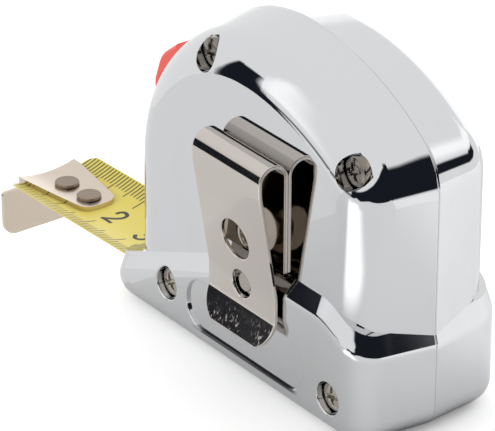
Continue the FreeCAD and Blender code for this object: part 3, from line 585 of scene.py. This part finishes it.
# %% Write the digits
STROKES = {
    "1": [[(0.12, 0.78), (0.34, 0.88), (0.52, 1.0), (0.52, 0.62), (0.52, 0.3), (0.52, 0.0)]],
    "2": [[(0.06, 0.76), (0.16, 0.95), (0.46, 1.02), (0.78, 0.92), (0.82, 0.68), (0.60, 0.42), (0.30, 0.20),
           (0.06, 0.02)], [(0.04, 0.02), (0.45, 0.03), (0.88, 0.02)]],
    "3": [[(0.08, 0.84), (0.30, 1.0), (0.62, 0.98), (0.76, 0.76), (0.60, 0.56), (0.38, 0.53)],
          [(0.38, 0.53), (0.66, 0.49), (0.84, 0.27), (0.66, 0.03), (0.32, -0.01), (0.06, 0.16)]],
    "4": [[(0.66, 0.0), (0.66, 0.4), (0.66, 1.0)], [(0.66, 1.0), (0.36, 0.62), (0.04, 0.28)],
          [(0.04, 0.28), (0.45, 0.28), (0.92, 0.28)]],
    "5": [[(0.78, 1.0), (0.46, 1.0), (0.18, 1.0)], [(0.18, 1.0), (0.15, 0.75), (0.12, 0.54)],
          [(0.12, 0.54), (0.44, 0.64), (0.78, 0.50), (0.82, 0.22), (0.58, 0.0), (0.26, 0.0), (0.06, 0.14)]],
}
DIGIT_WIDE, DIGIT_TALL, PEN = 3.1, 4.6, 0.40
AFTER_END, INK_LIFT, SAMPLES = 2.3, 0.012, 28
BLADE_Z, SAG, THICK, DROOP = 1.7, 2.2, 0.16, math.radians(2.0)
BEND = (HALF_WIDTH ** 2 + SAG ** 2) / (2 * SAG)
MOUTH_X = -38.8
PEN_SPREAD = np.array([1.0, 0.33, -0.33, -1.0])


def through(points, count):
    """A Catmull-Rom curve: each span blends its two ends and their neighbours by cubics."""
    p = np.array(points, float)
    p = np.vstack([2 * p[0] - p[1], p, 2 * p[-1] - p[-2]])
    t = np.linspace(0, len(p) - 3 - 1e-9, count)
    i, u = t.astype(int), (t % 1)[:, None]
    a, b, c, d = p[i], p[i + 1], p[i + 2], p[i + 3]
    square, cube = 2 * a - 5 * b + 4 * c - d, 3 * b - a - 3 * c + d
    return 0.5 * (2 * b + (c - a) * u + square * u ** 2 + cube * u ** 3)


def drooped(points):
    """Turns points about the mouth by the small angle the free blade hangs at."""
    dx, dz = points[:, 0] - MOUTH_X, points[:, 2] - BLADE_Z
    x = MOUTH_X + dx * math.cos(DROOP) - dz * math.sin(DROOP)
    z = BLADE_Z + dx * math.sin(DROOP) + dz * math.cos(DROOP)
    return np.stack([x, points[:, 1], z], -1)


def in_hollow(x, y, lift):
    """Height of the blade's hollow face: a circle of radius BEND about the axis above it."""
    z = BLADE_Z + BEND - np.sqrt((BEND - THICK - lift) ** 2 - y ** 2)
    return drooped(np.stack([x, y, z], -1))


def ribbon(points, half):
    """Rows of points across a curve, out to half on each side, with the ends run out a little."""
    way = np.gradient(points, axis=0)
    way /= np.linalg.norm(way, axis=1)[:, None]
    points = points.copy()
    points[0] -= way[0] * half * 0.8
    points[-1] += way[-1] * half * 0.8
    across = np.stack([-way[:, 1], way[:, 0]], -1)
    offsets = PEN_SPREAD * half
    return points[:, None, :] + across[:, None, :] * offsets[None, :, None]


corners, cells, used = [], [], 0
for digit, strokes in STROKES.items():
    middle = BLADE_END + 10 * int(digit) + AFTER_END
    for stroke in strokes:
        size = np.array([DIGIT_WIDE, DIGIT_TALL])
        flat = ribbon(through(np.array(stroke) * size, SAMPLES), PEN)
        x = middle + flat[..., 0].ravel() - DIGIT_WIDE / 2
        y = flat[..., 1].ravel() - DIGIT_TALL / 2
        corners.append(in_hollow(x, y, INK_LIFT))
        cells.append(grid_faces(SAMPLES, len(PEN_SPREAD)) + used)
        used += len(x)
digits = mesh_object("blade_digits", np.vstack(corners), np.vstack(cells))
ink, kit = finish("printing_ink")
worn = kit.noise(kit.place(), 2500.0, 2.0).step(0.55, 0.75)
surface(kit, {"Base Color": kit.mix(worn * 0.5, (0.030, 0.028, 0.016), (0.10, 0.09, 0.04)),
              "Roughness": 0.45})
wear(digits, ink)
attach(digits, "blade")
print("digits:", len(STROKES), "quads:", len(digits.data.polygons))

# %% [markdown]
# ## Screw heads
# A cross-head screw is a turned shape with a cross pressed into it. On a polar grid the
# turned part is a profile of radius and height, and the cross is a depth taken away from
# the top where a point is near either arm. Booleans would cut sharper corners, but a
# pressed recess has soft ones.

# %% Turn the screws
HEAD_EDGE, DOME_DROP, DOME_POWER = 0.30, 0.55, 2.4
SHANK_R, TIP_R, TIP_TALL, AXIS_R = 1.45, 1.15, 0.4, 0.0001
CROSS_SHARE, CROSS_HALF, CROSS_DEEP = 0.66, 0.36, 1.35
SPOKES = 132


def cross_depth(a, b, span, half):
    """Depth share of the recess: near an arm, inside the span, and sloping up outwards."""
    def ease(v, low, high):
        t = np.clip((v - low) / (high - low), 0, 1)
        return t * t * (3 - 2 * t)
    r = np.hypot(a, b)
    near = np.minimum(np.abs(a), np.abs(b))
    width = half * (1.25 - 0.45 * r / span)
    arm = 1 - ease(near, width - 0.10, width + 0.10)
    hub = 1 - ease(r, half * 1.5, half * 2.3)
    return np.maximum(arm, hub) * (1 - ease(r, span - 0.35, span + 0.12)) * (1 - 0.45 * r / span)


def screws(name, sites, head, height, tail, turns, made):
    """Domed heads facing -Y with a pressed cross, and a plain shank; sites are (x, seat, z)."""
    angle = np.arange(SPOKES) * 2 * math.pi / SPOKES
    R = head / 2
    top = np.linspace(AXIS_R, 1, 44) * (R - HEAD_EDGE)
    dome = height - DOME_DROP * (top / R) ** DOME_POWER
    edge = np.linspace(0.15, 1, 7) * math.pi / 2
    rim_r = R - HEAD_EDGE + HEAD_EDGE * np.sin(edge)
    rim_h = dome[-1] - HEAD_EDGE + HEAD_EDGE * np.cos(edge)
    low_r = np.array([R, R - 0.05, SHANK_R, SHANK_R, TIP_R, AXIS_R])
    low_h = np.array([0.05, 0.0, 0.0, -(tail - TIP_TALL), -tail, -tail])
    r, h = np.concatenate([top, rim_r, low_r]), np.concatenate([dome, rim_h, low_h])
    points, faces = [], []
    for (x, seat, z), turn in zip(sites, turns):
        a = r[:, None] * np.cos(angle)[None, :]
        b = r[:, None] * np.sin(angle)[None, :]
        cut = cross_depth(a, b, R * CROSS_SHARE, CROSS_HALF) * CROSS_DEEP
        cut[len(top):] = 0
        up = h[:, None] - cut
        c, s = math.cos(turn), math.sin(turn)
        block = np.stack([x + a * c - b * s, seat - up, z + a * s + b * c], -1).reshape(-1, 3)
        faces.append(grid_faces(len(r), SPOKES, wrap_columns=True) + len(points) * len(r) * SPOKES)
        points.append(block)
    piece = mesh_object(name, np.vstack(points), np.vstack(faces))
    wear(piece, made)
    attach(piece, "case")
    return piece


lower = screws("lower_screw_heads", [(-18.8, -13.5, 9.3), (29.0, -13.5, 7.6)],
               head=5.5, height=2.0, tail=21.5, turns=(0.5, 0.2), made=bright_zinc)
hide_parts("lower_case_screws")
# The upper screws wear the darker copy of the zinc: painted shade for their deep bores.
upper = screws("upper_screw_heads", [(-10.0, -11.0, 58.1), (30.8, -11.0, 51.3)],
               head=5.5, height=2.0, tail=19.0, turns=(0.25, 0.45), made=shaded_screw_zinc)
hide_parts("upper_case_screws")
middle = screws("clip_screw_head", [(5.8, -15.8, 29.9)],
                head=5.2, height=1.4, tail=9.8, turns=(0.35,), made=bright_zinc)
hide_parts("clip_screw")
print("screw quads:", [len(p.data.polygons) for p in (lower, upper, middle)])
